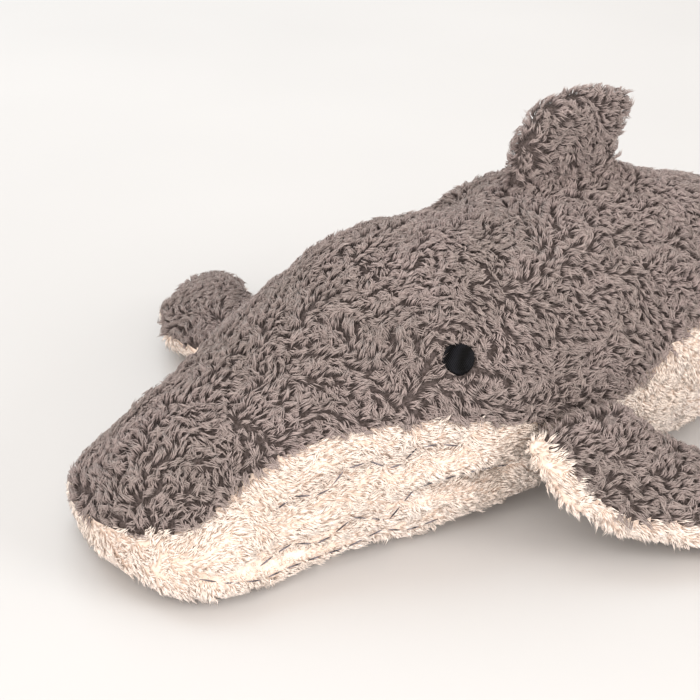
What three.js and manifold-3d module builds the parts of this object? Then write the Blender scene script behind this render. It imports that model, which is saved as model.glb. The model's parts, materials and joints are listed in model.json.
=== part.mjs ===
// A long-pile plush humpback whale lying on its belly. Millimetres, +Z up, nose towards -Y,
// its left side towards +X. The origin is on the surface it rests on, under the middle of the whale.
// Every skin is a plush panel of its full pile depth, sewn round fibre filling.
import * as THREE from "three";
import { mergeVertices } from "three/addons/utils/BufferGeometryUtils.js";
import Module from "manifold-3d";

const wasm = await Module();
wasm.setup();

const whaleLength = 569.2; // snout to the hind edge of the flukes
const skinDepth = 8; // fabric backing and pile together
const sewnGap = 0.4; // between two panels at a seam
const fillingGap = 1.2; // between a skin and its filling
const jointGap = 0.5; // between a turning end and its cup
const leanGap = 1.2; // between the dorsal fin's root and its cup, so that it can lean
const noseRound = 30; // how far back the rounding of the snout reaches
const trunkEnd = 490; // where the body ends in the fluke hinge
const padSides = 14; // points round a fin section

// Distances in these profiles run back from the tip of the snout.
const ridgeHeight = smooth([
  [0, 54], [30, 70], [50, 80], [82, 96], [120, 114], [150, 125], [200, 134], [240, 142],
  [310, 138], [360, 122], [405, 104], [450, 82], [490, 62],
]);
const halfWidth = smooth([
  [0, 38], [11, 46], [20, 56], [46, 70], [82, 77], [120, 82], [150, 86], [180, 88], [230, 88],
  [300, 82], [350, 71], [405, 54], [450, 37], [490, 28],
]);
const widestHeight = smooth([
  [0, 33], [20, 20], [46, 13], [82, 12], [120, 14], [150, 27], [180, 42], [220, 50],
  [350, 52], [405, 50], [450, 47], [490, 45],
]);
const bellyHeight = smooth([
  [0, -9], [320, -9], [370, -4], [400, 5], [440, 17], [490, 29],
]);
const colourSeam = smooth([
  [0, 27], [20, 31], [50, 46], [84, 60], [124, 66], [165, 60], [215, 50],
  [250, 60], [296, 77], [350, 76], [410, 58], [490, 45],
]);
const throatEnd = 212; // seam between throat and belly panels
const upperSquare = smooth([
  [0, 1], [20, 1.5], [50, 1.7], [82, 1.5], [120, 1.12], [150, 0.98], [200, 1], [490, 1],
]); // section exponents: 1 is an ellipse, less is fuller, more is a tent
const lowerSquare = 0.62;

const tailPivot = { distance: 415, height: 60, radius: 57 };
const flukePivot = { distance: trunkEnd, height: 45, radius: 19 };
const finRoot = { distance: 200, out: 99, height: 54, radius: 15, chord: 68 };
const dorsalRoot = { distance: 268, height: 141, tilt: -0.15, radius: 13, chord: 76 };

const eye = { distance: 153, height: 92, radius: 6.5, depth: 3, socket: 5, socketLength: 20 };
const thread = 0.8; // radius
const pleatRadius = 3.4;
// Each stitched row: [distance, fall], the fall from the colour seam to the ground as a fraction.
const pleats = [
  [[56, 0.3], [110, 0.24], [156, 0.2]],
  [[40, 0.55], [100, 0.6], [184, 0.46]],
  [[16, 0.45], [60, 0.8], [150, 0.84]],
];

const palette = {
  grey: new THREE.Color("#8f8580"),
  cream: new THREE.Color("#ede3dc"),
  filling: new THREE.Color("#f4f1ea"),
  eye: new THREE.Color("#17181d"),
  greyThread: new THREE.Color("#6c6a6c"),
  creamThread: new THREE.Color("#d9cdbf"),
};

// A smooth curve through [place, value] pairs, level beyond its ends.
function smooth(points) {
  const last = points.length - 1;
  const slope = (k) => {
    const [xa, ya] = points[Math.max(k - 1, 0)];
    const [xb, yb] = points[Math.min(k + 1, last)];
    return (yb - ya) / (xb - xa);
  };
  return (x) => {
    if (x <= points[0][0]) return points[0][1];
    if (x >= points[last][0]) return points[last][1];
    const i = points.findIndex(([place]) => place > x) - 1;
    const [x0, y0] = points[i];
    const [x1, y1] = points[i + 1];
    const span = x1 - x0;
    const t = (x - x0) / span;
    const rest = 1 - t;
    const low = y0 * (1 + 2 * t) + slope(i) * span * t;
    const high = y1 * (3 - 2 * t) - slope(i + 1) * span * rest;
    return low * rest * rest + high * t * t;
  };
}

const atY = (distance) => distance - whaleLength / 2;
const bend = (value, power) => Math.sign(value) * Math.abs(value) ** power;
const roundEnd = (gone, reach) =>
  gone >= reach ? 1 : Math.sqrt(Math.max(0, 1 - (1 - gone / reach) ** 2));

// Closed surface through rings of points; a ring of one repeated point is a pole.
function closedMesh(triangles) {
  const flat = new THREE.BufferGeometry().setFromPoints(triangles);
  const merged = mergeVertices(flat, 1e-3);
  const index = [];
  const old = merged.index.array;
  for (let i = 0; i < old.length; i += 3) {
    const [a, b, c] = [old[i], old[i + 1], old[i + 2]];
    if (a !== b && b !== c && a !== c) index.push(a, b, c);
  }
  merged.setIndex(index);
  return merged;
}

function grid(rows, closed, flip) {
  const triangles = [];
  for (let i = 0; i + 1 < rows.length; i += 1) {
    const count = rows[i].length;
    for (let j = 0; j < (closed ? count : count - 1); j += 1) {
      const k = (j + 1) % count;
      const [a, b, c, d] = [rows[i][j], rows[i][k], rows[i + 1][k], rows[i + 1][j]];
      triangles.push(...(flip ? [a, c, b, a, d, c] : [a, b, c, a, c, d]));
    }
  }
  return triangles;
}

function cap(ring, flip) {
  const centre = ring.reduce((sum, p) => sum.add(p), new THREE.Vector3()).divideScalar(ring.length);
  return ring.flatMap((p, j) => {
    const next = ring[(j + 1) % ring.length];
    return flip ? [centre, next, p] : [centre, p, next];
  });
}

const loft = (rings) =>
  closedMesh([...grid(rings, true, false), ...cap(rings[0], true), ...cap(rings.at(-1), false)]);

function solid(geometry) {
  const bare = geometry.clone();
  bare.deleteAttribute("normal");
  bare.deleteAttribute("uv");
  const merged = mergeVertices(bare, 1e-4);
  return new wasm.Manifold(
    new wasm.Mesh({
      numProp: 3,
      vertProperties: new Float32Array(merged.attributes.position.array),
      triVerts: new Uint32Array(merged.index.array),
    }),
  );
}

function geometryOf(manifold) {
  const mesh = manifold.getMesh();
  const geometry = new THREE.BufferGeometry();
  geometry.setAttribute("position", new THREE.BufferAttribute(mesh.vertProperties, 3));
  geometry.setIndex(Array.from(mesh.triVerts));
  return geometry;
}

const whale = new THREE.Group();

function piece(name, geometry, colour, roughness = 1) {
  const shown = geometry.index ? geometry.toNonIndexed() : geometry.clone();
  shown.computeVertexNormals();
  const material = new THREE.MeshStandardMaterial({ color: colour, roughness, metalness: 0 });
  const mesh = new THREE.Mesh(shown, material);
  mesh.name = name;
  whale.add(mesh);
  return mesh;
}

// ---- body ----

// A point of the body at a distance from the snout; turn runs from the ridge round the left side.
function bodyPoint(distance, turn, inset = 0) {
  const s = Math.sin(turn);
  const c = Math.cos(turn);
  const middle = widestHeight(distance);
  const tall = c > 0 ? ridgeHeight(distance) - middle : middle - bellyHeight(distance);
  const square = c > 0 ? upperSquare(distance) : lowerSquare;
  const snout = roundEnd(distance - inset, noseRound - inset);
  return new THREE.Vector3(
    snout * (halfWidth(distance) - inset) * bend(s, square),
    atY(distance),
    middle + snout * (tall - inset) * bend(c, square),
  );
}

// The left-hand point of the skin at a height.
function flankPoint(distance, height) {
  const middle = widestHeight(distance);
  const above = height > middle;
  const tall = above ? ridgeHeight(distance) - middle : middle - bellyHeight(distance);
  const power = above ? upperSquare(distance) : lowerSquare;
  const rise = Math.min(1, Math.abs(height - middle) / tall) ** (1 / power);
  return bodyPoint(distance, above ? Math.acos(rise) : Math.PI - Math.acos(rise));
}

function outward(distance, height) {
  const here = flankPoint(distance, height);
  const back = flankPoint(distance + 1, height).sub(here);
  const up = flankPoint(distance, height + 1).sub(here);
  return back.cross(up).normalize();
}

function bodyLoft(inset, noseRings, spacing, sides) {
  const distances = [];
  for (let i = 0; i <= noseRings; i += 1) {
    distances.push(inset + (noseRound - inset) * (1 - Math.cos((i / noseRings) * (Math.PI / 2))));
  }
  const end = trunkEnd + flukePivot.radius;
  const steps = Math.ceil((end - noseRound) / spacing);
  for (let i = 1; i <= steps; i += 1) distances.push(noseRound + ((end - noseRound) * i) / steps);
  const rings = distances.map((distance) =>
    Array.from({ length: sides }, (_, j) =>
      bodyPoint(distance, ((j + 0.5) / sides) * 2 * Math.PI, inset),
    ),
  );
  return solid(loft(rings));
}

// A prism across the whole whale under (or over) a height profile, between two distances.
function slab(profile, from, to, under) {
  const far = under ? -60 : 260;
  const steps = Math.ceil((to - from) / 12);
  const edge = Array.from({ length: steps + 1 }, (_, i) => from + ((to - from) * i) / steps);
  const outline = [
    new THREE.Vector2(atY(from), far),
    new THREE.Vector2(atY(to), far),
    ...edge.reverse().map((distance) => new THREE.Vector2(atY(distance), profile(distance))),
  ];
  const prism = new THREE.ExtrudeGeometry(new THREE.Shape(outline), {
    depth: whaleLength,
    bevelEnabled: false,
  });
  prism.translate(0, 0, -whaleLength / 2);
  const toSide = new THREE.Matrix4().makeBasis(
    new THREE.Vector3(0, 1, 0),
    new THREE.Vector3(0, 0, 1),
    new THREE.Vector3(1, 0, 0),
  );
  prism.applyMatrix4(toSide);
  return solid(prism);
}

function rod(centre, axis, radius, length, sides) {
  const shape = new THREE.CylinderGeometry(radius, radius, length, sides);
  shape.applyQuaternion(new THREE.Quaternion().setFromUnitVectors(new THREE.Vector3(0, 1, 0), axis));
  shape.translate(centre.x, centre.y, centre.z);
  return solid(shape);
}

const across = new THREE.Vector3(1, 0, 0);
const along = new THREE.Vector3(0, 1, 0);
const upright = new THREE.Vector3(0, 0, 1);
const always = (height) => () => height;
const everything = (from, to) => slab(always(-50), from, to, false);

const tailCentre = new THREE.Vector3(0, atY(tailPivot.distance), tailPivot.height);
const flukeCentre = new THREE.Vector3(0, atY(flukePivot.distance), flukePivot.height);
const leftFinCentre = new THREE.Vector3(finRoot.out, atY(finRoot.distance), finRoot.height);
const rightFinCentre = leftFinCentre.clone().setX(-finRoot.out);
const dorsalCentre = new THREE.Vector3(0, atY(dorsalRoot.distance), dorsalRoot.height);
const dorsalAxis = new THREE.Vector3(0, Math.cos(dorsalRoot.tilt), Math.sin(dorsalRoot.tilt));

const tailDisc = (grow) => rod(tailCentre, upright, tailPivot.radius + grow, 400, 48);
const flukeRoller = (grow) => rod(flukeCentre, across, flukePivot.radius + grow, 300, 32);
const grooveEnds = 6; // how much longer a groove is than the root that turns in it
const grooves = [leftFinCentre, rightFinCentre]
  .map((centre) => rod(centre, along, finRoot.radius + jointGap, finRoot.chord + grooveEnds, 24))
  .concat(
    rod(dorsalCentre, dorsalAxis, dorsalRoot.radius + leanGap, dorsalRoot.chord + grooveEnds, 24),
  );

const ground = slab(always(0), -20, whaleLength, false);
const trunkRegion = everything(-20, tailPivot.distance).subtract(tailDisc(jointGap));
const tailRegion = everything(tailPivot.distance, flukePivot.distance)
  .add(tailDisc(0))
  .subtract(flukeRoller(jointGap));

const outerBody = bodyLoft(0, 4, 28, 24).intersect(ground);
const insideBody = (inset) =>
  bodyLoft(inset, 3, 42, 16).intersect(slab(always(inset), -20, whaleLength, false));
const skin = outerBody.subtract(insideBody(skinDepth));
const filling = insideBody(skinDepth + fillingGap);

const half = sewnGap / 2;
const greyZone = slab((d) => colourSeam(d) + half, -20, whaleLength, false);
const creamZone = slab((d) => colourSeam(d) - half, -20, whaleLength, true);
const sideZone = (side) =>
  solid(new THREE.BoxGeometry(200, 900, 600).translate(side * (100 + half), 0, 0));

// A row of stitching on one side of the throat, at a depth under the tips of the pile.
function pleatPath(row, side, depth, trim) {
  const count = 9;
  const fallAt = smooth(row);
  const from = row[0][0] + trim;
  const to = row.at(-1)[0] - trim;
  const points = Array.from({ length: count }, (_, i) => {
    const distance = from + ((to - from) * i) / (count - 1);
    const height = colourSeam(distance) * (1 - fallAt(distance));
    const point = flankPoint(distance, height);
    point.addScaledVector(outward(distance, height), -depth);
    point.x *= side;
    return point;
  });
  return new THREE.CatmullRomCurve3(points);
}

function tube(path, radius, sides, steps) {
  const turn = (j) => (j / sides) * 2 * Math.PI;
  const circle = Array.from(
    { length: sides },
    (_, j) => new THREE.Vector2(radius * Math.cos(turn(j)), radius * Math.sin(turn(j))),
  );
  return new THREE.ExtrudeGeometry(new THREE.Shape(circle), { extrudePath: path, steps });
}

const threadDepth = 0.8 * pleatRadius - thread - sewnGap;
let throat = skin
  .intersect(creamZone)
  .intersect(slab(always(-50), -20, throatEnd - half, false));
for (const [sideName, side] of [["left", 1], ["right", -1]]) {
  pleats.forEach((row, i) => {
    throat = throat.subtract(solid(tube(pleatPath(row, side, 0, 0), pleatRadius, 6, 10)));
    const stitches = tube(pleatPath(row, side, threadDepth, 3), thread, 5, 12);
    piece(`throat_stitch_${sideName}_${i + 1}`, geometryOf(solid(stitches)), palette.greyThread, 0.9);
  });
}
for (const groove of grooves) throat = throat.subtract(groove);
piece("throat_panel", geometryOf(throat), palette.cream);

const closing = { from: 262, to: 330, channel: 2.6 };
const closingPath = new THREE.LineCurve3(
  new THREE.Vector3(0, atY(closing.from), 0),
  new THREE.Vector3(0, atY(closing.to), 0),
);
const closingThread = new THREE.LineCurve3(
  new THREE.Vector3(0, atY(closing.from + 3), thread + sewnGap),
  new THREE.Vector3(0, atY(closing.to - 3), thread + sewnGap),
);
let belly = skin.intersect(creamZone).intersect(everything(throatEnd + half, whaleLength));
const tailBelly = belly.intersect(tailRegion);
belly = belly.intersect(trunkRegion).subtract(solid(tube(closingPath, closing.channel, 8, 1)));
for (const groove of grooves) belly = belly.subtract(groove);
piece("belly_panel", geometryOf(belly), palette.cream);
piece("belly_closing_stitch", geometryOf(solid(tube(closingThread, thread, 6, 1))), palette.creamThread, 0.9);

const grey = skin.intersect(greyZone);
const eyeProfile = Array.from({ length: 5 }, (_, i) => {
  const t = (i / 4) * (Math.PI / 2);
  return new THREE.Vector2(eye.radius * Math.sin(t), 1 + (eye.depth - 1) * Math.cos(t));
});
for (const [sideName, side] of [["left", 1], ["right", -1]]) {
  const mirror = new THREE.Vector3(side, 1, 1);
  const eyeAxis = outward(eye.distance, eye.height).multiply(mirror);
  const eyePoint = flankPoint(eye.distance, eye.height).multiply(mirror);
  const eyeFloor = eyePoint.addScaledVector(eyeAxis, -eye.socket);
  const socketMiddle = eyeFloor.clone().addScaledVector(eyeAxis, eye.socketLength / 2);
  let back = grey
    .intersect(sideZone(side))
    .intersect(trunkRegion)
    .subtract(rod(socketMiddle, eyeAxis, eye.radius + sewnGap, eye.socketLength, 16));
  for (const groove of grooves) back = back.subtract(groove);
  piece(`back_panel_${sideName}`, geometryOf(back), palette.grey);

  const disc = new THREE.LatheGeometry([...eyeProfile, new THREE.Vector2(0, 0.3)].reverse(), 16);
  disc.applyQuaternion(new THREE.Quaternion().setFromUnitVectors(along, eyeAxis));
  disc.translate(eyeFloor.x, eyeFloor.y, eyeFloor.z);
  piece(`${sideName}_eye`, geometryOf(solid(disc)), palette.eye, 0.7);

  const tailBack = grey.intersect(sideZone(side)).intersect(tailRegion);
  piece(`tail_panel_${sideName}`, geometryOf(tailBack), palette.grey);
}

let bodyFilling = filling.intersect(trunkRegion);
for (const groove of grooves) bodyFilling = bodyFilling.subtract(groove);
piece("body_stuffing", geometryOf(bodyFilling), palette.filling);

piece("tail_belly_panel", geometryOf(tailBelly), palette.cream);
piece("tail_stuffing", geometryOf(filling.intersect(tailRegion)), palette.filling);

// ---- fins ----

// One section of a fin: half an outline of its skin, from its front edge to its hind edge.
function finArc(station, inset, side, lift) {
  const count = padSides / 2;
  const wide = Math.max(0, station.chord / 2 - inset) * station.narrow;
  const thick = Math.max(0, station.thickness / 2 - inset) * station.thin;
  return Array.from({ length: count + 1 }, (_, j) => {
    const turn = (j / count) * Math.PI;
    return station.centre
      .clone()
      .addScaledVector(station.chordAim, -wide * Math.cos(turn))
      .addScaledVector(station.faceAim, side * (thick * bend(Math.sin(turn), 0.8) + lift));
  });
}

// A skin over one face of a fin: outer and inner surfaces joined round the edge.
function finSkin(stationsAt, side) {
  const outer = stationsAt(0).map((s) => finArc(s, 0, side, half));
  const inner = stationsAt(skinDepth).map((s) => finArc(s, skinDepth, side, half));
  const edge = (pick) => outer.map((row, i) => [pick(row), pick(inner[i])]);
  const ends = (i) => [outer.at(i), inner.at(i)];
  const first = (row) => row[0];
  const last = (row) => row.at(-1);
  const flip = side > 0;
  return closedMesh([
    ...grid(outer, false, flip),
    ...grid(inner, false, !flip),
    ...grid(edge(first), false, !flip),
    ...grid(edge(last), false, flip),
    ...grid(ends(0), false, !flip),
    ...grid(ends(-1), false, flip),
  ]);
}

function finFilling(stationsAt) {
  const inset = skinDepth + fillingGap;
  const rings = stationsAt(inset).map((s) => [
    ...finArc(s, inset, -1, 0).slice(0, -1),
    ...finArc(s, inset, 1, 0).reverse().slice(0, -1),
  ]);
  return loft(rings);
}

// Stations along a fin's spine from its rounded root to its rounded tip.
function finStations({ spine, chord, thickness, chordAim, tipRound, rootRound, steps }) {
  const reach = spine.getLength();
  return (inset) => {
    const from = inset;
    const to = reach - inset;
    const places = [];
    const rootReach = rootRound - inset;
    const tipReach = tipRound - inset;
    for (let i = 0; i < 3; i += 1) {
      places.push(from + rootReach * (1 - Math.cos((i / 3) * (Math.PI / 2))));
    }
    for (let i = 0; i <= steps; i += 1) {
      places.push(from + rootReach + ((to - tipReach - from - rootReach) * i) / steps);
    }
    for (let i = 1; i <= 4; i += 1) {
      places.push(to - tipReach * (1 - Math.sin((i / 4) * (Math.PI / 2))));
    }
    return places.map((place) => {
      const t = Math.min(1, place / reach);
      const tangent = spine.getTangentAt(t);
      const aim = chordAim(t, tangent);
      const tip = roundEnd(to - place, tipReach);
      return {
        centre: spine.getPointAt(t),
        chordAim: aim,
        faceAim: tangent.clone().cross(aim).normalize(),
        chord: chord(t),
        thickness: thickness(t),
        narrow: tip,
        thin: Math.min(tip, roundEnd(place - from, rootReach)),
      };
    });
  };
}

// A flipper on the left side: its spine as [out, distance, height] points from the root, and how
// far its chord turns in from straight back, in degrees, along the spine.
function flipper(spine, turnIn) {
  return finStations({
    spine: new THREE.CatmullRomCurve3(spine.map(([x, d, z]) => new THREE.Vector3(x, atY(d), z))),
    chord: smooth([[0, finRoot.chord], [0.12, finRoot.chord], [0.35, 80], [0.65, 72], [0.85, 57], [1, 42]]),
    thickness: smooth([[0, 27], [0.12, 28], [0.35, 34], [0.7, 28], [1, 24]]),
    chordAim: (t) => {
      const turn = THREE.MathUtils.degToRad(turnIn(t));
      return new THREE.Vector3(-Math.sin(turn), Math.cos(turn), 0);
    },
    tipRound: 26,
    rootRound: finRoot.radius,
    steps: 8,
  });
}

const finStart = [
  [finRoot.out - finRoot.radius, finRoot.distance, finRoot.height + 1],
  [finRoot.out, finRoot.distance, finRoot.height],
];
const sweptBack = flipper(
  [
    ...finStart, [114, 221, 33], [129, 247, 18], [154, 276, 17], [184, 302, 15], [212, 322, 14],
    [239.45, 338, 13],
  ],
  smooth([[0, 0], [0.1, 5], [0.3, 35], [0.5, 48], [1, 55]]),
);
const drawnForward = flipper(
  [
    ...finStart, [116, 187, 36], [136, 169, 22], [165, 163, 17], [196, 174, 15], [221, 192, 14],
    [239, 211, 13],
  ],
  smooth([[0, 0], [0.1, 0], [0.35, -20], [0.6, 12], [0.8, 38], [1, 50]]),
);
for (const [sideName, stations, side] of [["left", sweptBack, 1], ["right", drawnForward, -1]]) {
  piece(`${sideName}_fin_upper`, finSkin(stations, 1), palette.grey).scale.x = side;
  piece(`${sideName}_fin_lower`, finSkin(stations, -1), palette.cream).scale.x = side;
  piece(`${sideName}_fin_stuffing`, finFilling(stations), palette.filling).scale.x = side;
}

const dorsalSpine = new THREE.CatmullRomCurve3(
  [[266, 128], [268, 141], [272, 154], [280, 168], [286, 180]].map(
    ([d, z]) => new THREE.Vector3(0, atY(d), z),
  ),
);
const dorsal = finStations({
  spine: dorsalSpine,
  chord: smooth([[0, dorsalRoot.chord], [0.4, 74], [0.75, 66], [1, 54]]),
  thickness: smooth([[0, 25], [0.5, 25], [1, 21]]),
  chordAim: (t) => {
    const tilt = dorsalRoot.tilt * (1 - t);
    return new THREE.Vector3(0, Math.cos(tilt), Math.sin(tilt));
  },
  tipRound: 15,
  rootRound: 13,
  steps: 3,
});
piece("dorsal_panel_right", finSkin(dorsal, 1), palette.grey);
piece("dorsal_panel_left", finSkin(dorsal, -1), palette.grey);
piece("dorsal_stuffing", finFilling(dorsal), palette.filling);

// The flukes: one fin across the tail, from the right tip to the left tip.
const flukes = {
  reach: 152,
  distance: smooth([[0, 506], [30, 508], [60, 520], [100, 537], [130, 548], [152, 555]]),
  height: smooth([[0, 45], [30, 45], [60, 48], [100, 54], [152, 60]]),
  chord: smooth([[0, 66], [30, 72], [60, 72], [100, 58], [130, 42], [152, 28]]),
  thickness: smooth([[0, 34], [30, 31], [60, 28], [100, 25], [152, 22]]),
};

function flukeStations(from, to, steps, inset) {
  const tipReach = 18 - inset / 2;
  const end = flukes.reach - inset;
  const places = [];
  const rounding = (i) => end - tipReach * (1 - Math.sin((i / 4) * (Math.PI / 2)));
  if (from < 0) for (let i = 4; i > 0; i -= 1) places.push(-rounding(i));
  const first = from < 0 ? -rounding(0) : from;
  const last = to > 0 ? rounding(0) : to;
  for (let i = 0; i <= steps; i += 1) places.push(first + ((last - first) * i) / steps);
  if (to > 0) for (let i = 1; i <= 4; i += 1) places.push(rounding(i));
  return places.map((x) => {
    const out = Math.abs(x);
    const tip = roundEnd(end - out, tipReach);
    return {
      centre: new THREE.Vector3(x, atY(flukes.distance(out)), flukes.height(out)),
      chordAim: along,
      faceAim: upright,
      chord: flukes.chord(out),
      thickness: flukes.thickness(out),
      narrow: tip,
      thin: tip,
    };
  });
}

const bothLobes = (inset) => flukeStations(-flukes.reach, flukes.reach, 12, inset);
const middleGap = 3;
piece("fluke_upper_panel", finSkin(bothLobes, 1), palette.grey);
piece("fluke_lower_panel", finSkin(bothLobes, -1), palette.cream);
piece(
  "left_fluke_stuffing",
  finFilling((inset) => flukeStations(middleGap, flukes.reach, 6, inset)),
  palette.filling,
);
piece(
  "right_fluke_stuffing",
  finFilling((inset) => flukeStations(-flukes.reach, -middleGap, 6, inset)),
  palette.filling,
);

export default whale;
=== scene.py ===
import json
import math

import bmesh
import bpy
import numpy as np
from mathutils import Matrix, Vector, noise
from mathutils.bvhtree import BVHTree
from mathutils.kdtree import KDTree


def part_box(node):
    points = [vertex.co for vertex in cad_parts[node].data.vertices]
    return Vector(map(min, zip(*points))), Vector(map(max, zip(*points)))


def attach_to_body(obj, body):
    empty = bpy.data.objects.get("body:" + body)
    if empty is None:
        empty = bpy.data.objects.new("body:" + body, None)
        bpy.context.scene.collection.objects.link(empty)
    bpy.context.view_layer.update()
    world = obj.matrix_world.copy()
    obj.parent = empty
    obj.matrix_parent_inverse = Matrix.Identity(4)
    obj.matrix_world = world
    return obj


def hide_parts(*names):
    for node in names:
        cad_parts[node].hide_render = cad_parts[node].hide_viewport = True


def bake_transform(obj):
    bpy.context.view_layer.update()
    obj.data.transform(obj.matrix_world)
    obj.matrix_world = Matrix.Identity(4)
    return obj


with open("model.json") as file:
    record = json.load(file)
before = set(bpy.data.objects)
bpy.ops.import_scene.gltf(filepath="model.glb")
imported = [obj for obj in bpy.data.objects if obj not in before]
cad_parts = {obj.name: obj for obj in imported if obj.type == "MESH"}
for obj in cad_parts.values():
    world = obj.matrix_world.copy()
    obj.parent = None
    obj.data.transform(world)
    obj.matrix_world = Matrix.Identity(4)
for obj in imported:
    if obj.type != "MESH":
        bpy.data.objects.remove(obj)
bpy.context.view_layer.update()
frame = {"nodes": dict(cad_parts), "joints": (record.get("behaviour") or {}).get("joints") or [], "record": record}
nodes = frame["nodes"]
mm = 0.001
bpy.ops.object.select_all(action="DESELECT")
print("frame loaded")


def selectOnly(obj):
    bpy.ops.object.select_all(action="DESELECT")
    obj.select_set(True)
    bpy.context.view_layer.objects.active = obj


def addModifier(obj, kind, **settings):
    modifier = obj.modifiers.new(kind.title(), kind)
    for name, value in settings.items():
        setattr(modifier, name, value)
    return modifier


def finishModifier(obj, kind, **settings):
    modifier = addModifier(obj, kind, **settings)
    selectOnly(obj)
    bpy.ops.object.modifier_apply(modifier=modifier.name)


def settle(obj):
    selectOnly(obj)
    bpy.ops.object.transform_apply(location=True, rotation=True, scale=True)


def joined(name, pieces):
    selectOnly(pieces[0])
    for piece in pieces[1:]:
        piece.select_set(True)
    if len(pieces) > 1:
        bpy.ops.object.join()
    pieces[0].name = name
    pieces[0].data.name = name
    return pieces[0]


def pointsOf(obj):
    flat = np.empty(len(obj.data.vertices) * 3, np.float32)
    obj.data.vertices.foreach_get("co", flat)
    return flat.reshape(-1, 3).astype(float)


def setPoints(obj, points):
    obj.data.vertices.foreach_set("co", np.asarray(points, np.float32).ravel())
    obj.data.update()


def normalsOf(obj):
    flat = np.empty(len(obj.data.vertices) * 3, np.float32)
    obj.data.vertex_normals.foreach_get("vector", flat)
    return flat.reshape(-1, 3).astype(float)


def unit(vectors):
    return vectors / np.maximum(np.linalg.norm(vectors, axis=-1, keepdims=True), 1e-12)


def mergedCopy(name, nodeNames):
    shape = bmesh.new()
    for nodeName in nodeNames:
        shape.from_mesh(nodes[nodeName].data)
    bmesh.ops.remove_doubles(shape, verts=shape.verts, dist=0.01 * mm)
    mesh = bpy.data.meshes.new(name)
    shape.to_mesh(mesh)
    shape.free()
    mesh.materials.clear()
    obj = bpy.data.objects.new(name, mesh)
    bpy.context.scene.collection.objects.link(obj)
    return obj


view = {
    "azimuth": math.radians(55),
    "elevation": math.radians(24),
    "distance": 0.9,
    "lens": 85,
    "target": Vector((-0.0909, -0.0802, 0.0233)),
}
back = Vector((
    math.sin(view["azimuth"]) * math.cos(view["elevation"]),
    -math.cos(view["azimuth"]) * math.cos(view["elevation"]),
    math.sin(view["elevation"]),
))
bpy.ops.object.camera_add(location=view["target"] + view["distance"] * back)
camera = bpy.context.object
camera.name = "camera"
camera.rotation_euler = (-back).to_track_quat("-Z", "Y").to_euler()
camera.data.lens = view["lens"]
camera.data.sensor_width = 36
camera.data.clip_end = 30
bpy.context.scene.camera = camera

lamps = [
    {"name": "window", "at": (-1.6, 0, 2.3), "size": 2.2, "power": 40, "colour": (0.84, 0.95, 1)},
    {"name": "front", "at": (1.5, -1.8, 1.15), "size": 2.6, "power": 58, "colour": (1, 0.94, 0.89)},
    {"name": "side", "at": (2.6, 1.2, 1.1), "size": 1.6, "power": 50, "colour": (1, 0.97, 0.94)},
]
middle = Vector((0, 0, 0.08))
for lamp in lamps:
    bpy.ops.object.light_add(type="AREA", location=lamp["at"])
    light = bpy.context.object
    light.name = lamp["name"]
    light.rotation_euler = (middle - light.location).to_track_quat("-Z", "Y").to_euler()
    light.data.size = lamp["size"]
    light.data.energy = lamp["power"]
    light.data.color = lamp["colour"]

world = bpy.data.worlds.new("paleRoom")
world.use_nodes = True
world.node_tree.nodes["Background"].inputs["Color"].default_value = (1.0, 0.89, 0.81, 1)
world.node_tree.nodes["Background"].inputs["Strength"].default_value = 0.86
bpy.context.scene.world = world
bpy.context.scene.view_settings.view_transform = "Standard"

bpy.ops.mesh.primitive_plane_add(size=40, location=(0, 0, 0))
floor = bpy.context.object
floor.name = "floor"
print("camera, lamps and floor set")


def srgb(code):
    levels = [int(code[i:i + 2], 16) / 255 for i in (1, 3, 5)]
    linear = [v / 12.92 if v <= 0.04045 else ((v + 0.055) / 1.055) ** 2.4 for v in levels]
    return tuple(linear) + (1,)


def addNode(tree, kind, settings=None, **sockets):
    node = tree.nodes.new(kind)
    for name, value in (settings or {}).items():
        setattr(node, name, value)
    for name, value in sockets.items():
        socket = node.inputs[int(name[1:]) if name[1:].isdigit() else name.replace("_", " ")]
        if isinstance(value, bpy.types.NodeSocket):
            tree.links.new(value, socket)
        else:
            socket.default_value = value
    return node


def newMaterial(name, **surface):
    material = bpy.data.materials.new(name)
    material.use_nodes = True
    tree = material.node_tree
    shader = tree.nodes["Principled BSDF"]
    for socket, value in surface.items():
        shader.inputs[socket.replace("_", " ")].default_value = value
    return material, tree, shader


def ramp(tree, factor, stops):
    node = addNode(tree, "ShaderNodeValToRGB", i0=factor)
    elements = node.color_ramp.elements
    while len(elements) < len(stops):
        elements.new(0.5)
    for element, (at, colour) in zip(elements, stops):
        element.position = at
        element.color = colour if len(colour) == 4 else srgb(colour)
    return node.outputs["Color"]


def perMetre(millimetres):
    return 1 / (millimetres * mm)


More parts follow.
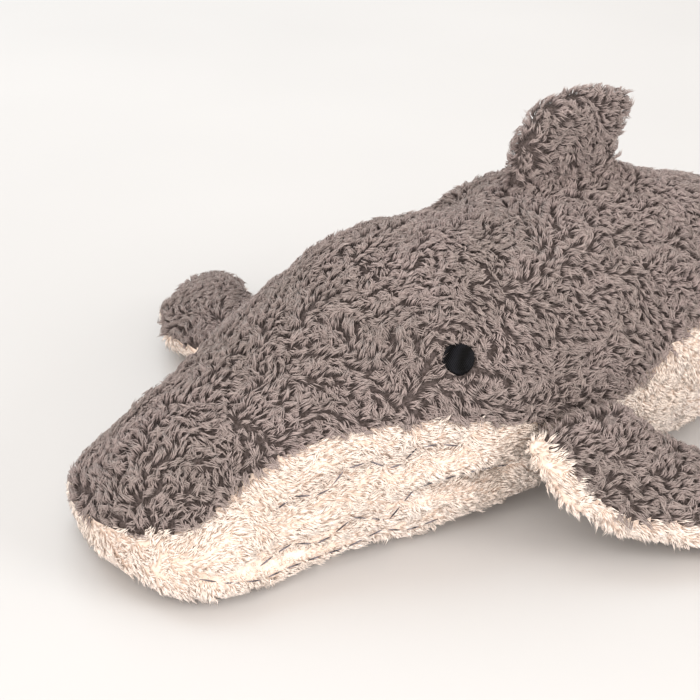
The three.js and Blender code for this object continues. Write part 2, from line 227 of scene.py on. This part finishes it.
# Curled acrylic pile: each lock is painted with shade where it leaves the backing and painted with light towards
# its end.
# Fibres run along it, and a soft sheen comes off their sides.
def pileMaterial(name, look):
    material, tree, shader = newMaterial(
        name, Roughness=look["roughness"], Sheen_Weight=look["sheen"], Sheen_Roughness=0.45,
        Specular_IOR_Level=0.3,
    )
    shader.inputs["Sheen Tint"].default_value = srgb(look["tip"])
    along = addNode(tree, "ShaderNodeAttribute", {"attribute_name": "along"}).outputs["Fac"]
    tone = addNode(tree, "ShaderNodeAttribute", {"attribute_name": "tone"}).outputs["Fac"]
    around = addNode(tree, "ShaderNodeAttribute", {"attribute_name": "around"}).outputs["Fac"]
    # Painted shade and light: the colour runs from a dark root, where shade falls between the hairs, to a pale
    # tip, where light falls.
    colour = ramp(
        tree, along, [(0, look["root"]), (look["turn"], look["middle"]), (1, look["tip"])],
    )
    place = addNode(tree, "ShaderNodeTexCoord").outputs["Object"]
    patches = addNode(
        tree, "ShaderNodeTexNoise",
        i0=place, Scale=perMetre(look["patch"]), Detail=2.0, Roughness=0.5,
    ).outputs["Fac"]
    patchShade = ramp(tree, patches, [(0.3, look["patchDark"]), (0.7, look["patchPale"])])
    patched = addNode(
        tree, "ShaderNodeMix", {"data_type": "RGBA", "blend_type": "MULTIPLY"},
        i0=1.0, i6=colour, i7=patchShade,
    ).outputs[2]
    fibre = addNode(tree, "ShaderNodeCombineXYZ", X=around, Y=along, Z=tone).outputs["Vector"]
    spread = addNode(
        tree, "ShaderNodeVectorMath", {"operation": "MULTIPLY"}, i0=fibre, i1=look["fibres"],
    ).outputs["Vector"]
    strands = addNode(tree, "ShaderNodeTexNoise", i0=spread, Scale=1.0, Detail=1.0).outputs["Fac"]
    level = addNode(
        tree, "ShaderNodeMath", {"operation": "MULTIPLY_ADD"}, i0=tone, i1=look["toneSpread"],
        i2=1 - look["toneSpread"] / 2,
    ).outputs["Value"]
    strandLevel = addNode(
        tree, "ShaderNodeMath", {"operation": "MULTIPLY_ADD"}, i0=strands, i1=look["strandSpread"],
        i2=1 - look["strandSpread"] / 2,
    ).outputs["Value"]
    brightness = addNode(
        tree, "ShaderNodeMath", {"operation": "MULTIPLY"}, i0=level, i1=strandLevel,
    ).outputs["Value"]
    shaded = addNode(
        tree, "ShaderNodeHueSaturation", Color=patched, Value=brightness,
    ).outputs["Color"]
    tree.links.new(shaded, shader.inputs["Base Color"])
    bump = addNode(tree, "ShaderNodeBump", Strength=0.35, Distance=0.15 * mm, Height=strands)
    tree.links.new(bump.outputs["Normal"], shader.inputs["Normal"])
    return material


# Knitted backing: the close stitches the pile is caught in, seen only as the floor under it, coloured darker than
# the pile to paint the shade that falls under it.
def backingMaterial(name, look):
    material, tree, shader = newMaterial(name, Roughness=0.95, Specular_IOR_Level=0.2)
    place = addNode(tree, "ShaderNodeTexCoord").outputs["Object"]
    knit = addNode(
        tree, "ShaderNodeTexNoise", i0=place, Scale=perMetre(look["stitch"]), Detail=3.0,
    ).outputs["Fac"]
    # Painted shade: the knit's colour runs from the shade under the pile up to the hairs' root colour.
    colour = ramp(tree, knit, [(0.35, look["deep"]), (0.7, look["root"])])
    tree.links.new(colour, shader.inputs["Base Color"])
    bump = addNode(tree, "ShaderNodeBump", Strength=0.6, Distance=0.6 * mm, Height=knit)
    tree.links.new(bump.outputs["Normal"], shader.inputs["Normal"])
    return material


# Spun polyester thread: plies twist round it, so pale and dark run slantwise along each stitch.
def threadMaterial(name, look):
    material, tree, shader = newMaterial(
        name, Roughness=look["roughness"], Specular_IOR_Level=0.12,
    )
    place = addNode(tree, "ShaderNodeTexCoord").outputs["Object"]
    turned = addNode(tree, "ShaderNodeMapping", i0=place, Rotation=look["slant"]).outputs["Vector"]
    plies = addNode(
        tree, "ShaderNodeTexWave", {"bands_direction": "X"}, i0=turned,
        Scale=perMetre(look["ply"]) / 20, Distortion=1.2, Detail=2.0, Detail_Scale=2.0,
    ).outputs["Fac"]
    colour = ramp(tree, plies, [(0.0, look["dark"]), (1.0, look["pale"])])
    tree.links.new(colour, shader.inputs["Base Color"])
    bump = addNode(tree, "ShaderNodeBump", Strength=0.5, Distance=0.12 * mm, Height=plies)
    tree.links.new(bump.outputs["Normal"], shader.inputs["Normal"])
    return material


# Carded polyester fibre: matted white wisps, soft and slightly uneven in tone.
def fillingMaterial(name):
    material, tree, shader = newMaterial(name, Roughness=0.95, Sheen_Weight=0.2)
    place = addNode(tree, "ShaderNodeTexCoord").outputs["Object"]
    wisps = addNode(
        tree, "ShaderNodeTexNoise", i0=place, Scale=perMetre(6), Detail=6.0, Distortion=1.5,
    ).outputs["Fac"]
    colour = ramp(tree, wisps, [(0.3, "#d9d5cc"), (0.7, "#f6f4ee")])
    tree.links.new(colour, shader.inputs["Base Color"])
    bump = addNode(tree, "ShaderNodeBump", Strength=0.7, Distance=1.2 * mm, Height=wisps)
    tree.links.new(bump.outputs["Normal"], shader.inputs["Normal"])
    return material


# Matt painted board: pale, with hardly any grain.
def floorMaterial():
    material, tree, shader = newMaterial("paintedBoard", Roughness=0.9, Specular_IOR_Level=0.1)
    place = addNode(tree, "ShaderNodeTexCoord").outputs["Object"]
    cloud = addNode(tree, "ShaderNodeTexNoise", i0=place, Scale=3.0, Detail=2.0).outputs["Fac"]
    colour = ramp(tree, cloud, [(0.3, "#cccdce"), (0.7, "#cfd0d1")])
    tree.links.new(colour, shader.inputs["Base Color"])
    return material


# Pile colours: the root, middle and tip colours paint shade at the root and light at the tip; the backing's
# darkest colour paints the shade under the pile.
greyLook = {
    "root": "#6a605f", "middle": "#998d8c", "tip": "#c2b7b4", "turn": 0.5,
    "patch": 38, "patchDark": (0.86, 0.85, 0.82, 1), "patchPale": (1.0, 0.97, 0.96, 1),
    "fibres": (5.0, 1.2, 40.0), "toneSpread": 0.3, "strandSpread": 0.3,
    "roughness": 0.62, "sheen": 0.25, "stitch": 1.2, "deep": "#463e3b",
}
creamLook = {
    "root": "#fae9dd", "middle": "#fcf0e8", "tip": "#fdf5ef", "turn": 0.35,
    "patch": 30, "patchDark": (0.95, 0.93, 0.9, 1), "patchPale": (1.0, 1.0, 1.0, 1),
    "fibres": (5.0, 1.2, 40.0), "toneSpread": 0.06, "strandSpread": 0.08,
    "roughness": 0.66, "sheen": 0.2, "stitch": 1.2, "deep": "#f0dccd",
}
greyPile = pileMaterial("taupeCurledPile", greyLook)
creamPile = pileMaterial("creamCurledPile", creamLook)
greyBacking = backingMaterial("taupeKnittedBacking", greyLook)
creamBacking = backingMaterial("creamKnittedBacking", creamLook)
fibreFilling = fillingMaterial("cardedPolyesterFibre")
eyeThread = threadMaterial(
    "blackSatinStitch",
    {"dark": "#020203", "pale": "#17181d", "ply": 0.4, "roughness": 0.5, "slant": (0.3, 0.5, 0.2)},
)
rowThread = threadMaterial(
    "greySewingThread",
    {"dark": "#434146", "pale": "#77737a", "ply": 0.5, "roughness": 0.7, "slant": (0.4, 0.2, 0.7)},
)
seamThread = threadMaterial(
    "creamSewingThread",
    {"dark": "#c9bba9", "pale": "#e6dccf", "ply": 0.5, "roughness": 0.7, "slant": (0.4, 0.2, 0.7)},
)
floor.data.materials.append(floorMaterial())
print("materials made")


# Each part of the whale is one stuffed form. It starts as the filling's solids, with plugs over the
# hollows where the fins turn, is filled by pressure, and has the panels cut from its surface.
forms = {
    "body": {
        "filling": ["body_stuffing", "tail_stuffing"],
        "plugs": [
            {"at": (0, -0.0166, 0.121), "size": (0.016, 0.056, 0.012)},
            {"at": (0.066, -0.0846, 0.054), "size": (0.0125, 0.05, 0.026)},
            {"at": (-0.066, -0.0846, 0.054), "size": (0.0125, 0.05, 0.026)},
            {"at": (0, 0.1304, 0.055), "size": (0.04, 0.07, 0.045)},
        ],
        "panels": [
            "back_panel_left", "back_panel_right", "throat_panel", "belly_panel",
            "tail_panel_left", "tail_panel_right", "tail_belly_panel",
        ],
        "voxel": 5 * mm, "least": 3.5 * mm, "swell": 5.5 * mm,
    },
    "leftFin": {
        "filling": ["left_fin_stuffing"], "plugs": [],
        "panels": ["left_fin_upper", "left_fin_lower"],
        "voxel": 4 * mm, "least": 3.5 * mm, "swell": 5.5 * mm,
    },
    "rightFin": {
        "filling": ["right_fin_stuffing"], "plugs": [],
        "panels": ["right_fin_upper", "right_fin_lower"],
        "voxel": 4 * mm, "least": 3.5 * mm, "swell": 5.5 * mm,
    },
    "dorsalFin": {
        "filling": ["dorsal_stuffing"], "plugs": [],
        "panels": ["dorsal_panel_left", "dorsal_panel_right"],
        "voxel": 3 * mm, "least": 4.5 * mm, "swell": 5.5 * mm,
    },
    "flukes": {
        "filling": ["left_fluke_stuffing", "right_fluke_stuffing"],
        "plugs": [{"at": (0, 0.2214, 0.045), "size": (0.014, 0.022, 0.007)}],
        "panels": ["fluke_upper_panel", "fluke_lower_panel"],
        "voxel": 4 * mm, "least": 3.5 * mm, "swell": 5.5 * mm,
    },
}


def addPlug(plug):
    bpy.ops.mesh.primitive_uv_sphere_add(segments=24, ring_count=12, radius=1, location=plug["at"])
    sphere = bpy.context.object
    sphere.scale = plug["size"]
    settle(sphere)
    return sphere


def inflate(obj, swell):
    cloth = addModifier(obj, "CLOTH")
    settings = cloth.settings
    settings.quality = 4
    settings.mass = 0.15
    settings.tension_stiffness = 20
    settings.compression_stiffness = 20
    settings.shear_stiffness = 10
    settings.bending_stiffness = 2
    settings.use_pressure = True
    settings.uniform_pressure_force = 4
    settings.effector_weights.gravity = 0
    start = pointsOf(obj)
    for step in range(1, 21):
        bpy.context.scene.frame_set(step)
    selectOnly(obj)
    bpy.ops.object.modifier_apply(modifier=cloth.name)
    bpy.context.scene.frame_set(1)
    moved = pointsOf(obj) - start
    length = np.linalg.norm(moved, axis=1, keepdims=True)
    print("  cloth moved", np.round(np.percentile(length, [5, 50, 95]) / mm, 2))
    setPoints(obj, start + moved * np.minimum(1, swell / np.maximum(length, 1e-9)))


def stuffed(name, form):
    pieces = [mergedCopy(name, form["filling"])] + [addPlug(plug) for plug in form["plugs"]]
    obj = joined(name, pieces)
    finishModifier(obj, "REMESH", mode="VOXEL", voxel_size=form["voxel"])
    finishModifier(obj, "SMOOTH", factor=0.5, iterations=4)
    finishModifier(obj, "DISPLACE", strength=form["least"], mid_level=0)
    inflate(obj, form["swell"])
    finishModifier(obj, "SUBSURF", levels=1, render_levels=1)
    print("stuffed", name, len(obj.data.polygons), "faces")
    return obj


stuffedForms = {name: stuffed(name, form) for name, form in forms.items()}


rowNodes = [f"throat_stitch_{side}_{i}" for side in ("left", "right") for i in (1, 2, 3)]
gathers = {"rowDepth": 8.0 * mm, "rowWidth": 6.5 * mm, "eyeDepth": 2.0 * mm, "eyeWidth": 12 * mm}

# Where the filling has settled: each entry pushes the stuffed surface round one point.
settled = [
    {"at": (-0.03, -0.066, 0.122), "reach": (0.045, 0.028, 0.045), "push": (0, 0, -12 * mm)},
    {"at": (-0.03, 0.045, 0.122), "reach": (0.045, 0.032, 0.045), "push": (0, 0, -6 * mm)},
    {"at": (-0.014, -0.277, 0.034), "reach": (0.03, 0.022, 0.014), "push": (0, -8 * mm, -1 * mm)},
    {"at": (0, -0.272, 0.01), "reach": (0.055, 0.025, 0.014), "push": (0, -6 * mm, 0)},
    {"at": (0.05, -0.242, 0.01), "reach": (0.026, 0.045, 0.02), "push": (8 * mm, -5 * mm, 0)},
    {"at": (-0.05, -0.242, 0.01), "reach": (0.026, 0.045, 0.02), "push": (-8 * mm, -5 * mm, 0)},
    {"at": (0, 0.024, 0.172), "reach": (0.02, 0.016, 0.016), "push": (0, 5 * mm, 1 * mm)},
    {"at": (0.16, -0.095, 0.02), "reach": (0.06, 0.034, 0.03), "push": (0, -13 * mm, -4 * mm)},
    {"at": (0.2, -0.075, 0.02), "reach": (0.04, 0.034, 0.03), "push": (0, -6 * mm, -2 * mm)},
    {"at": (0.112, -0.11, 0.036), "reach": (0.022, 0.024, 0.024), "push": (0, -6 * mm, -6 * mm)},
    {"at": (-0.18, -0.12, 0.022), "reach": (0.06, 0.06, 0.03), "push": (0, 5 * mm, 4 * mm)},
]


def rowPath(nodeName, count):
    points = pointsOf(nodes[nodeName])
    along = (points[:, 1] - points[:, 1].min()) / np.ptp(points[:, 1])
    bins = np.clip((along * count).astype(int), 0, count - 1)
    return np.array([points[bins == i].mean(0) for i in range(count)])


def resampled(path, count):
    steps = np.linalg.norm(np.diff(path, axis=0), axis=1)
    place = np.concatenate([[0], np.cumsum(steps)])
    want = np.linspace(0, place[-1], count)
    return np.stack([np.interp(want, place, path[:, k]) for k in range(3)], 1)


rowPaths = {name: resampled(rowPath(name, 10), 60) for name in rowNodes}
bodySurface = BVHTree.FromObject(stuffedForms["body"], bpy.context.evaluated_depsgraph_get())
rowTree = KDTree(60 * len(rowNodes))
for rowIndex, path in enumerate(rowPaths.values()):
    for pointIndex, point in enumerate(path):
        rowTree.insert(bodySurface.find_nearest(Vector(point))[0], rowIndex * 60 + pointIndex)
rowTree.balance()
eyeCentres = {
    name: bodySurface.find_nearest(sum(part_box(name), Vector()) / 2 - Vector((0, 0, 2.5 * mm)))[0]
    for name in ("left_eye", "right_eye")
}


def nearRow(point):
    found, _, distance = rowTree.find(point)
    return found, distance


def nearEye(point):
    return min((Vector(point) - centre).length for centre in eyeCentres.values())


def gather(obj):
    points = pointsOf(obj)
    inward = -normalsOf(obj)
    for i, point in enumerate(points):
        row = nearRow(point)[1]
        eye = nearEye(point)
        depth = gathers["rowDepth"] * math.exp(-((row / gathers["rowWidth"]) ** 2))
        depth += gathers["eyeDepth"] * math.exp(-((eye / gathers["eyeWidth"]) ** 2))
        depth -= 2.0 * mm * noise.noise(Vector(point) * perMetre(26))
        depth -= 0.8 * mm * noise.noise(Vector(point) * perMetre(11) + Vector((7, 3, 1)))
        points[i] += inward[i] * depth
    for place in settled:
        apart = (points - np.array(place["at"])) / np.array(place["reach"])
        points += np.exp(-(apart ** 2).sum(1))[:, None] * np.array(place["push"])
    points[:, 2] = np.maximum(points[:, 2], 2.2 * mm)
    setPoints(obj, points)


for form in stuffedForms.values():
    gather(form)
fabric = BVHTree.FromObject(stuffedForms["body"], bpy.context.evaluated_depsgraph_get())
print("stitch rows gathered")


panelTrees = {
    name: BVHTree.FromPolygons(
        [v.co for v in nodes[name].data.vertices],
        [list(p.vertices) for p in nodes[name].data.polygons],
    )
    for form in forms.values()
    for name in form["panels"]
}


# Seams that pull over to one side: the named panel reaches this much further round the point.
pulls = [
    {"panel": "left_fin_lower", "at": (0.18, -0.08, 0.03), "reach": 0.1, "by": 2.5 * mm},
    {"panel": "left_fin_upper", "at": (0.14, -0.112, 0.03), "reach": 0.04, "by": 4.5 * mm},
    {"panel": "left_fin_lower", "at": (0.095, -0.105, 0.035), "reach": 0.014, "by": 9 * mm},
    {"panel": "right_fin_lower", "at": (-0.095, -0.105, 0.035), "reach": 0.014, "by": 9 * mm},
    {"panel": "right_fin_lower", "at": (-0.16, -0.08, 0.03), "reach": 0.2, "by": 4 * mm},
]


def pulled(name, point):
    return sum(
        pull["by"] * math.exp(-(((point - Vector(pull["at"])).length / pull["reach"]) ** 2))
        for pull in pulls if pull["panel"] == name
    )


def cutPanels(form, panels):
    mesh = form.data
    owners = []
    for face in mesh.polygons:
        distances = [
            panelTrees[name].find_nearest(face.center)[3] - pulled(name, face.center)
            for name in panels
        ]
        owners.append(distances.index(min(distances)))
    owners = np.array(owners)
    cut = {}
    for index, name in enumerate(panels):
        shape = bmesh.new()
        shape.from_mesh(mesh)
        shape.faces.ensure_lookup_table()
        unwanted = [shape.faces[i] for i in np.nonzero(owners != index)[0]]
        bmesh.ops.delete(shape, geom=unwanted, context="FACES")
        panelMesh = bpy.data.meshes.new(name)
        shape.to_mesh(panelMesh)
        shape.free()
        cut[name] = bpy.data.objects.new(name + "_cut", panelMesh)
        bpy.context.scene.collection.objects.link(cut[name])
    return cut


cutPieces = {}
for name, form in forms.items():
    cutPieces.update(cutPanels(stuffedForms[name], form["panels"]))
print("panels cut:", len(cutPieces))


random = np.random.default_rng(41)
greyFur = {
    "perSquareMetre": 1100e3, "lock": 6.5, "length": 7.2 * mm, "width": 0.6 * mm, "flat": 0.85,
    "rootLean": 68, "tipLean": -22, "curl": 2.8, "ownCurl": 0.8, "swirl": 1.3, "tousle": 0.4,
    "pinch": 0.38,
}
creamFur = {
    "perSquareMetre": 1100e3, "lock": 6.5, "length": 6.0 * mm, "width": 0.66 * mm, "flat": 0.85,
    "rootLean": 38, "tipLean": -4, "curl": 1.2, "ownCurl": 0.5, "swirl": 0.65, "tousle": 0.24,
    "pinch": 0.2,
}
stops = [0, 0.56, 1]  # where a hair's root, its cross-sections and its tip stand along it
segments = len(stops) - 1
sides = 3
pressed = {"below": 14 * mm, "share": 0.4}  # pile under the whale, flattened by its weight
parting = {"turn": 2.2, "reach": 6 * mm, "calm": 2.6}  # hairs lie away from the stitch rows
swirls = {"wide": 42, "close": 11, "bent": 9, "wideTurn": 2.1, "closeTurn": 1.7}  # sizes in mm
trims = {"row": 0.68, "rowReach": 3.6 * mm, "eye": 0.4, "eyeReach": 11 * mm, "eyeClear": 6.8 * mm}
growth = {
    "lockLength": (0.7, 0.55), "hairLength": (0.85, 0.3), "hairWidth": (0.75, 0.5),  # least, spread
    "rise": 9, "lean": (-25, 85),  # degrees
    "wobble": 0.35 * mm, "floor": 0.15 * mm,
    "rooted": 0.6,  # mm that a hair starts below the fabric
}


def scatter(obj, perSquareMetre):
    mesh = obj.data
    mesh.calc_loop_triangles()
    corners = np.empty(len(mesh.loop_triangles) * 3, np.int32)
    mesh.loop_triangles.foreach_get("vertices", corners)
    corners = corners.reshape(-1, 3)
    points = pointsOf(obj)
    normals = normalsOf(obj)
    a, b, c = (points[corners[:, k]] for k in range(3))
    area = np.linalg.norm(np.cross(b - a, c - a), axis=1) / 2
    low = points[corners][:, :, 2].max(1) < pressed["below"]
    facingDown = normals[corners][:, :, 2].mean(1) < -0.7
    area[low & facingDown] *= pressed["share"]
    count = np.floor(area * perSquareMetre + random.random(len(area))).astype(int)
    chosen = np.repeat(np.arange(len(area)), count)
    u = random.random(len(chosen))
    v = random.random(len(chosen))
    over = u + v > 1
    u[over] = 1 - u[over]
    v[over] = 1 - v[over]
    weights = np.stack([1 - u - v, u, v], 1)[:, :, None]
    roots = (points[corners[chosen]] * weights).sum(1)
    outward = unit((normals[corners[chosen]] * weights).sum(1))
    clear = np.array([nearEye(root) > trims["eyeClear"] for root in roots])
    return roots[clear], outward[clear]


def combing(root, outward, fur):
    place = Vector(root)
    row, gap = nearRow(root)
    parted = parting["turn"] * math.exp(-((gap / parting["reach"]) ** 2))
    lay = Vector((0, 1, -0.35)) + (place - row).normalized() * parted
    flat = lay - lay.dot(outward) * outward
    if flat.length < 0.2:
        flat = Vector((0, 0.3, -1)) - Vector((0, 0.3, -1)).dot(outward) * outward
    flat.normalize()
    across = outward.cross(flat)
    wide = noise.noise(place * perMetre(swirls["wide"]))
    close = noise.noise(place * perMetre(swirls["close"]) + Vector((5, 2, 9)))
    bent = noise.noise(place * perMetre(swirls["bent"]) + Vector((1, 8, 4)))
    turn = fur["swirl"] * (swirls["wideTurn"] * wide + swirls["closeTurn"] * close)
    return flat, across, turn * (1 - parted / parting["calm"]), fur["curl"] * bent


def growPile(name, obj, fur):
    roots, outward = scatter(obj, fur["perSquareMetre"])
    total = len(roots)
    leaders = random.permutation(total)[: max(1, int(total / fur["lock"]))]
    tree = KDTree(len(leaders))
    for i, leader in enumerate(leaders):
        tree.insert(roots[leader], i)
    tree.balance()
    lock = np.array([tree.find(root)[1] for root in roots])

    count = len(leaders)
    flat = np.empty((count, 3))
    across = np.empty((count, 3))
    turn = np.empty(count)
    curl = np.empty(count)
    short = np.ones(count)
    for i, leader in enumerate(leaders):
        normal = Vector(outward[leader])
        flat[i], across[i], turn[i], curl[i] = combing(roots[leader], normal, fur)
        row = nearRow(roots[leader])[1]
        eye = nearEye(roots[leader])
        nearStitch = math.exp(-((row / trims["rowReach"]) ** 2))
        nearThread = math.exp(-((eye / trims["eyeReach"]) ** 2))
        short[i] = 1 - trims["row"] * nearStitch - trims["eye"] * nearThread
    turn += random.normal(0, fur["tousle"], count)
    curl += random.normal(0, fur["ownCurl"], count)
    least, spread = growth["lockLength"]
    lockLength = fur["length"] * short * (least + spread * random.random(count))
    up = outward[leaders]
    rise = random.normal(0, growth["rise"], count)

    path = np.zeros((segments + 1, count, 3))
    for k in range(segments):
        s = (stops[k] + stops[k + 1]) / 2
        lean = np.radians(np.clip(
            fur["rootLean"] * (1 - s) + fur["tipLean"] * s + rise * s, *growth["lean"],
        ))
        angle = turn + curl * s * s
        sideways = flat * np.cos(angle)[:, None] + across * np.sin(angle)[:, None]
        step = up * np.sin(lean)[:, None] + sideways * np.cos(lean)[:, None]
        path[k + 1] = path[k] + step * (lockLength * (stops[k + 1] - stops[k]))[:, None]

    least, spread = growth["hairLength"]
    own = least + spread * random.random(total)
    offset = roots - roots[leaders[lock]]
    wobble = random.normal(0, growth["wobble"], (segments + 1, total, 3))
    spine = np.empty((segments + 1, total, 3))
    for k, s in enumerate(stops):
        spine[k] = roots + path[k][lock] * own[:, None] - offset * fur["pinch"] * s + wobble[k] * s
    spine[0] -= outward * growth["rooted"] * mm

    least, spread = growth["hairWidth"]
    width = fur["width"] * (least + spread * random.random(total)) * (0.6 + 0.4 * short[lock])
    spin = random.random(total) * 2 * math.pi
    columns = [spine[0]]
    for k in range(1, segments):
        forward = unit(spine[k + 1] - spine[k - 1])
        side = unit(np.cross(forward, outward))
        over = np.cross(forward, side)
        for j in range(sides):
            angle = spin + j * 2 * math.pi / sides
            reach = side * np.cos(angle)[:, None] + over * (fur["flat"] * np.sin(angle))[:, None]
            columns.append(spine[k] + reach * (width / 2)[:, None])
    columns.append(spine[segments])
    points = np.stack(columns, 1)
    points[:, :, 2] = np.maximum(points[:, :, 2], growth["floor"])

    perHair = (segments - 1) * sides + 2
    faces = []
    for j in range(sides):
        beside = (j + 1) % sides
        faces.append((0, 1 + beside, 1 + j))
        for low in range(1, perHair - 1 - sides, sides):
            faces.append((low + j, low + beside, low + beside + sides))
            faces.append((low + j, low + beside + sides, low + j + sides))
        faces.append((perHair - 1 - sides + j, perHair - 1 - sides + beside, perHair - 1))
    faces = np.array(faces, np.int32)
    indices = (faces[None] + (np.arange(total, dtype=np.int32) * perHair)[:, None, None]).ravel()

    mesh = bpy.data.meshes.new(name)
    mesh.vertices.add(total * perHair)
    mesh.vertices.foreach_set("co", points.astype(np.float32).ravel())
    mesh.loops.add(len(indices))
    mesh.loops.foreach_set("vertex_index", indices)
    mesh.polygons.add(len(indices) // 3)
    mesh.polygons.foreach_set("loop_start", np.arange(0, len(indices), 3, dtype=np.int32))
    mesh.update(calc_edges=True)
    mesh.shade_smooth()
    along = np.repeat(stops, [1] + [sides] * (segments - 1) + [1])
    around = np.concatenate([[0.5], np.tile(np.arange(sides) / sides, segments - 1), [0.5]])
    tone = 0.6 * random.random(count)[lock] + 0.4 * random.random(total)
    for label, values in (
        ("along", np.tile(along, total)),
        ("around", np.tile(around, total)),
        ("tone", np.repeat(tone, perHair)),
    ):
        layer = mesh.attributes.new(label, "FLOAT", "POINT")
        layer.data.foreach_set("value", values.astype(np.float32))
    pile = bpy.data.objects.new(name, mesh)
    bpy.context.scene.collection.objects.link(pile)
    print("  pile", name, total, "hairs")
    return pile


joints = {joint["name"]: Vector(joint["pos_m"]) for joint in frame["joints"]}
bends = {
    "trunk": None,
    "tail": ("trunk", "tail", joints["tail_swing"] + Vector((0, -0.035, 0)),
             joints["tail_swing"] + Vector((0, 0.04, 0))),
    "left_fin": ("trunk", "left_fin", Vector((0.084, -0.0846, 0.054)),
                 Vector((0.118, -0.0846, 0.054))),
    "right_fin": ("trunk", "right_fin", Vector((-0.084, -0.0846, 0.054)),
                  Vector((-0.118, -0.0846, 0.054))),
    "dorsal_fin": ("trunk", "dorsal_fin", Vector((0, -0.0166, 0.133)), Vector((0, -0.0166, 0.15))),
    "flukes": ("tail", "flukes", Vector((0, 0.19, 0.045)), Vector((0, 0.222, 0.045))),
}
bodyOf = {
    name: body
    for body, names in frame["record"]["behaviour"]["bodies"].items()
    for name in names
}
slotOf = {part["node"]: part["material_slot"] for part in frame["record"]["subparts"]}


def attach(obj, node, others=()):
    body = bodyOf[node]
    bend = bends["tail" if node in crossesTail else body]
    if bend:
        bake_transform(obj)
    else:
        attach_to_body(obj, body)
    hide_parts(node, *others)


crossesTail = ["back_panel_left", "back_panel_right", "belly_panel", "body_stuffing"]


def camel(name):
    first, *rest = name.split("_")
    return first + "".join(word.title() for word in rest)


def makePanel(node, cut):
    grey = slotOf[node] == "grey_plush"
    pile = growPile(camel(node) + "Pile", cut, greyFur if grey else creamFur)
    finishModifier(cut, "SOLIDIFY", thickness=1.2 * mm, offset=-1)
    cut.data.materials.clear()
    cut.data.materials.append(greyBacking if grey else creamBacking)
    cut.data.shade_smooth()
    pile.data.materials.append(greyPile if grey else creamPile)
    panel = joined(camel(node), [pile, cut])
    attach(panel, node)


for node, cut in cutPieces.items():
    makePanel(node, cut)
print("plush panels made")


fillings = {
    "bodyFilling": ("body", ["body_stuffing", "tail_stuffing"]),
    "leftFinFilling": ("leftFin", ["left_fin_stuffing"]),
    "rightFinFilling": ("rightFin", ["right_fin_stuffing"]),
    "dorsalFilling": ("dorsalFin", ["dorsal_stuffing"]),
    "flukeFilling": ("flukes", ["left_fluke_stuffing", "right_fluke_stuffing"]),
}
for name, (formName, stands) in fillings.items():
    filling = stuffedForms[formName]
    filling.name = name
    filling.data.name = name
    finishModifier(filling, "DISPLACE", strength=-2.4 * mm, mid_level=0)
    filling.data.materials.clear()
    filling.data.materials.append(fibreFilling)
    filling.data.shade_smooth()
    attach(filling, stands[0], stands[1:])
print("fillings made")


eyeMake = {
    "radius": 7.4 * mm, "threads": 19, "thick": 0.85 * mm, "crown": 1.2 * mm, "lift": 3.8 * mm,
    "overlap": 0.62,  # half a thread's width over its thickness: above 0.5, so neighbours close up
    "ragged": 0.05,  # how uneven the ends of the threads are
    "dome": 1.04,  # a little over 1, so that the outermost threads keep some height
    "pad": 5.2 * mm, "padDepth": 2.4 * mm, "padEdge": 0.9 * mm,
}


def makeEye(node):
    centre = eyeCentres[node]
    hit, normal, _, _ = fabric.find_nearest(centre)
    turn = Vector((0, 0, 1)).rotation_difference(normal)
    middle = hit + normal * eyeMake["lift"]
    pieces = []
    bpy.ops.mesh.primitive_cylinder_add(
        vertices=28, radius=eyeMake["radius"] * 0.97, depth=eyeMake["pad"],
        location=(0, 0, -eyeMake["padDepth"]),
    )
    pad = bpy.context.object
    finishModifier(pad, "BEVEL", width=eyeMake["padEdge"], segments=3)
    pieces.append(pad)
    for i in range(eyeMake["threads"]):
        out = 2 * (i + 0.5) / eyeMake["threads"] - 1
        half = eyeMake["radius"] * math.sqrt(1 - out * out)
        half *= 1 + eyeMake["ragged"] * math.sin(i * 2.3)
        bpy.ops.mesh.primitive_uv_sphere_add(segments=8, ring_count=8, radius=1)
        thread = bpy.context.object
        crown = eyeMake["crown"] * math.sqrt(eyeMake["dome"] - out * out)
        thread.scale = (half, eyeMake["thick"] * eyeMake["overlap"], crown)
        thread.location = (0, out * eyeMake["radius"], 0)
        pieces.append(thread)
    for piece in pieces:
        settle(piece)
    eye = joined(camel(node), pieces)
    eye.rotation_mode = "QUATERNION"
    eye.rotation_quaternion = turn
    eye.location = middle
    settle(eye)
    eye.data.materials.clear()
    eye.data.materials.append(eyeThread)
    eye.data.shade_smooth()
    attach(eye, node)


for node in eyeCentres:
    makeEye(node)
print("eyes made")


stitching = {
    "stitch": 7.5 * mm, "gap": 3.0 * mm, "radius": 0.36 * mm,
    "lift": 2.15 * mm, "sink": 2.6 * mm,  # height over the fabric, and how much it varies
}


def stitchAt(start, end, radius):
    span = end - start
    bpy.ops.mesh.primitive_uv_sphere_add(segments=8, ring_count=8, radius=1, location=(0, 0, 0))
    stitch = bpy.context.object
    stitch.scale = (radius, radius, span.length / 2)
    stitch.rotation_mode = "QUATERNION"
    stitch.rotation_quaternion = span.to_track_quat("Z", "Y")
    stitch.location = (start + end) / 2
    settle(stitch)
    return stitch


def makeRow(node, path, material):
    onFabric = []
    for point in resampled(path, 9):
        hit, normal, _, _ = fabric.find_nearest(Vector(point))
        lift = stitching["lift"] + stitching["sink"] * noise.noise(hit * perMetre(14))
        onFabric.append(hit + normal * lift)
    path = resampled(np.array(onFabric), 200)
    path[:, 2] = np.maximum(path[:, 2], 0.6 * mm)
    step = np.linalg.norm(path[1] - path[0])
    every = int((stitching["stitch"] + stitching["gap"]) / step)
    length = int(stitching["stitch"] / step)
    stitches = [
        stitchAt(Vector(path[first]), Vector(path[first + length]), stitching["radius"])
        for first in range(0, len(path) - length, every)
    ]
    row = joined(camel(node), stitches)
    row.data.materials.clear()
    row.data.materials.append(material)
    row.data.shade_smooth()
    attach(row, node)


for node, path in rowPaths.items():
    makeRow(node, path, rowThread)
makeRow("belly_closing_stitch", rowPath("belly_closing_stitch", 2), seamThread)
print("stitching made")
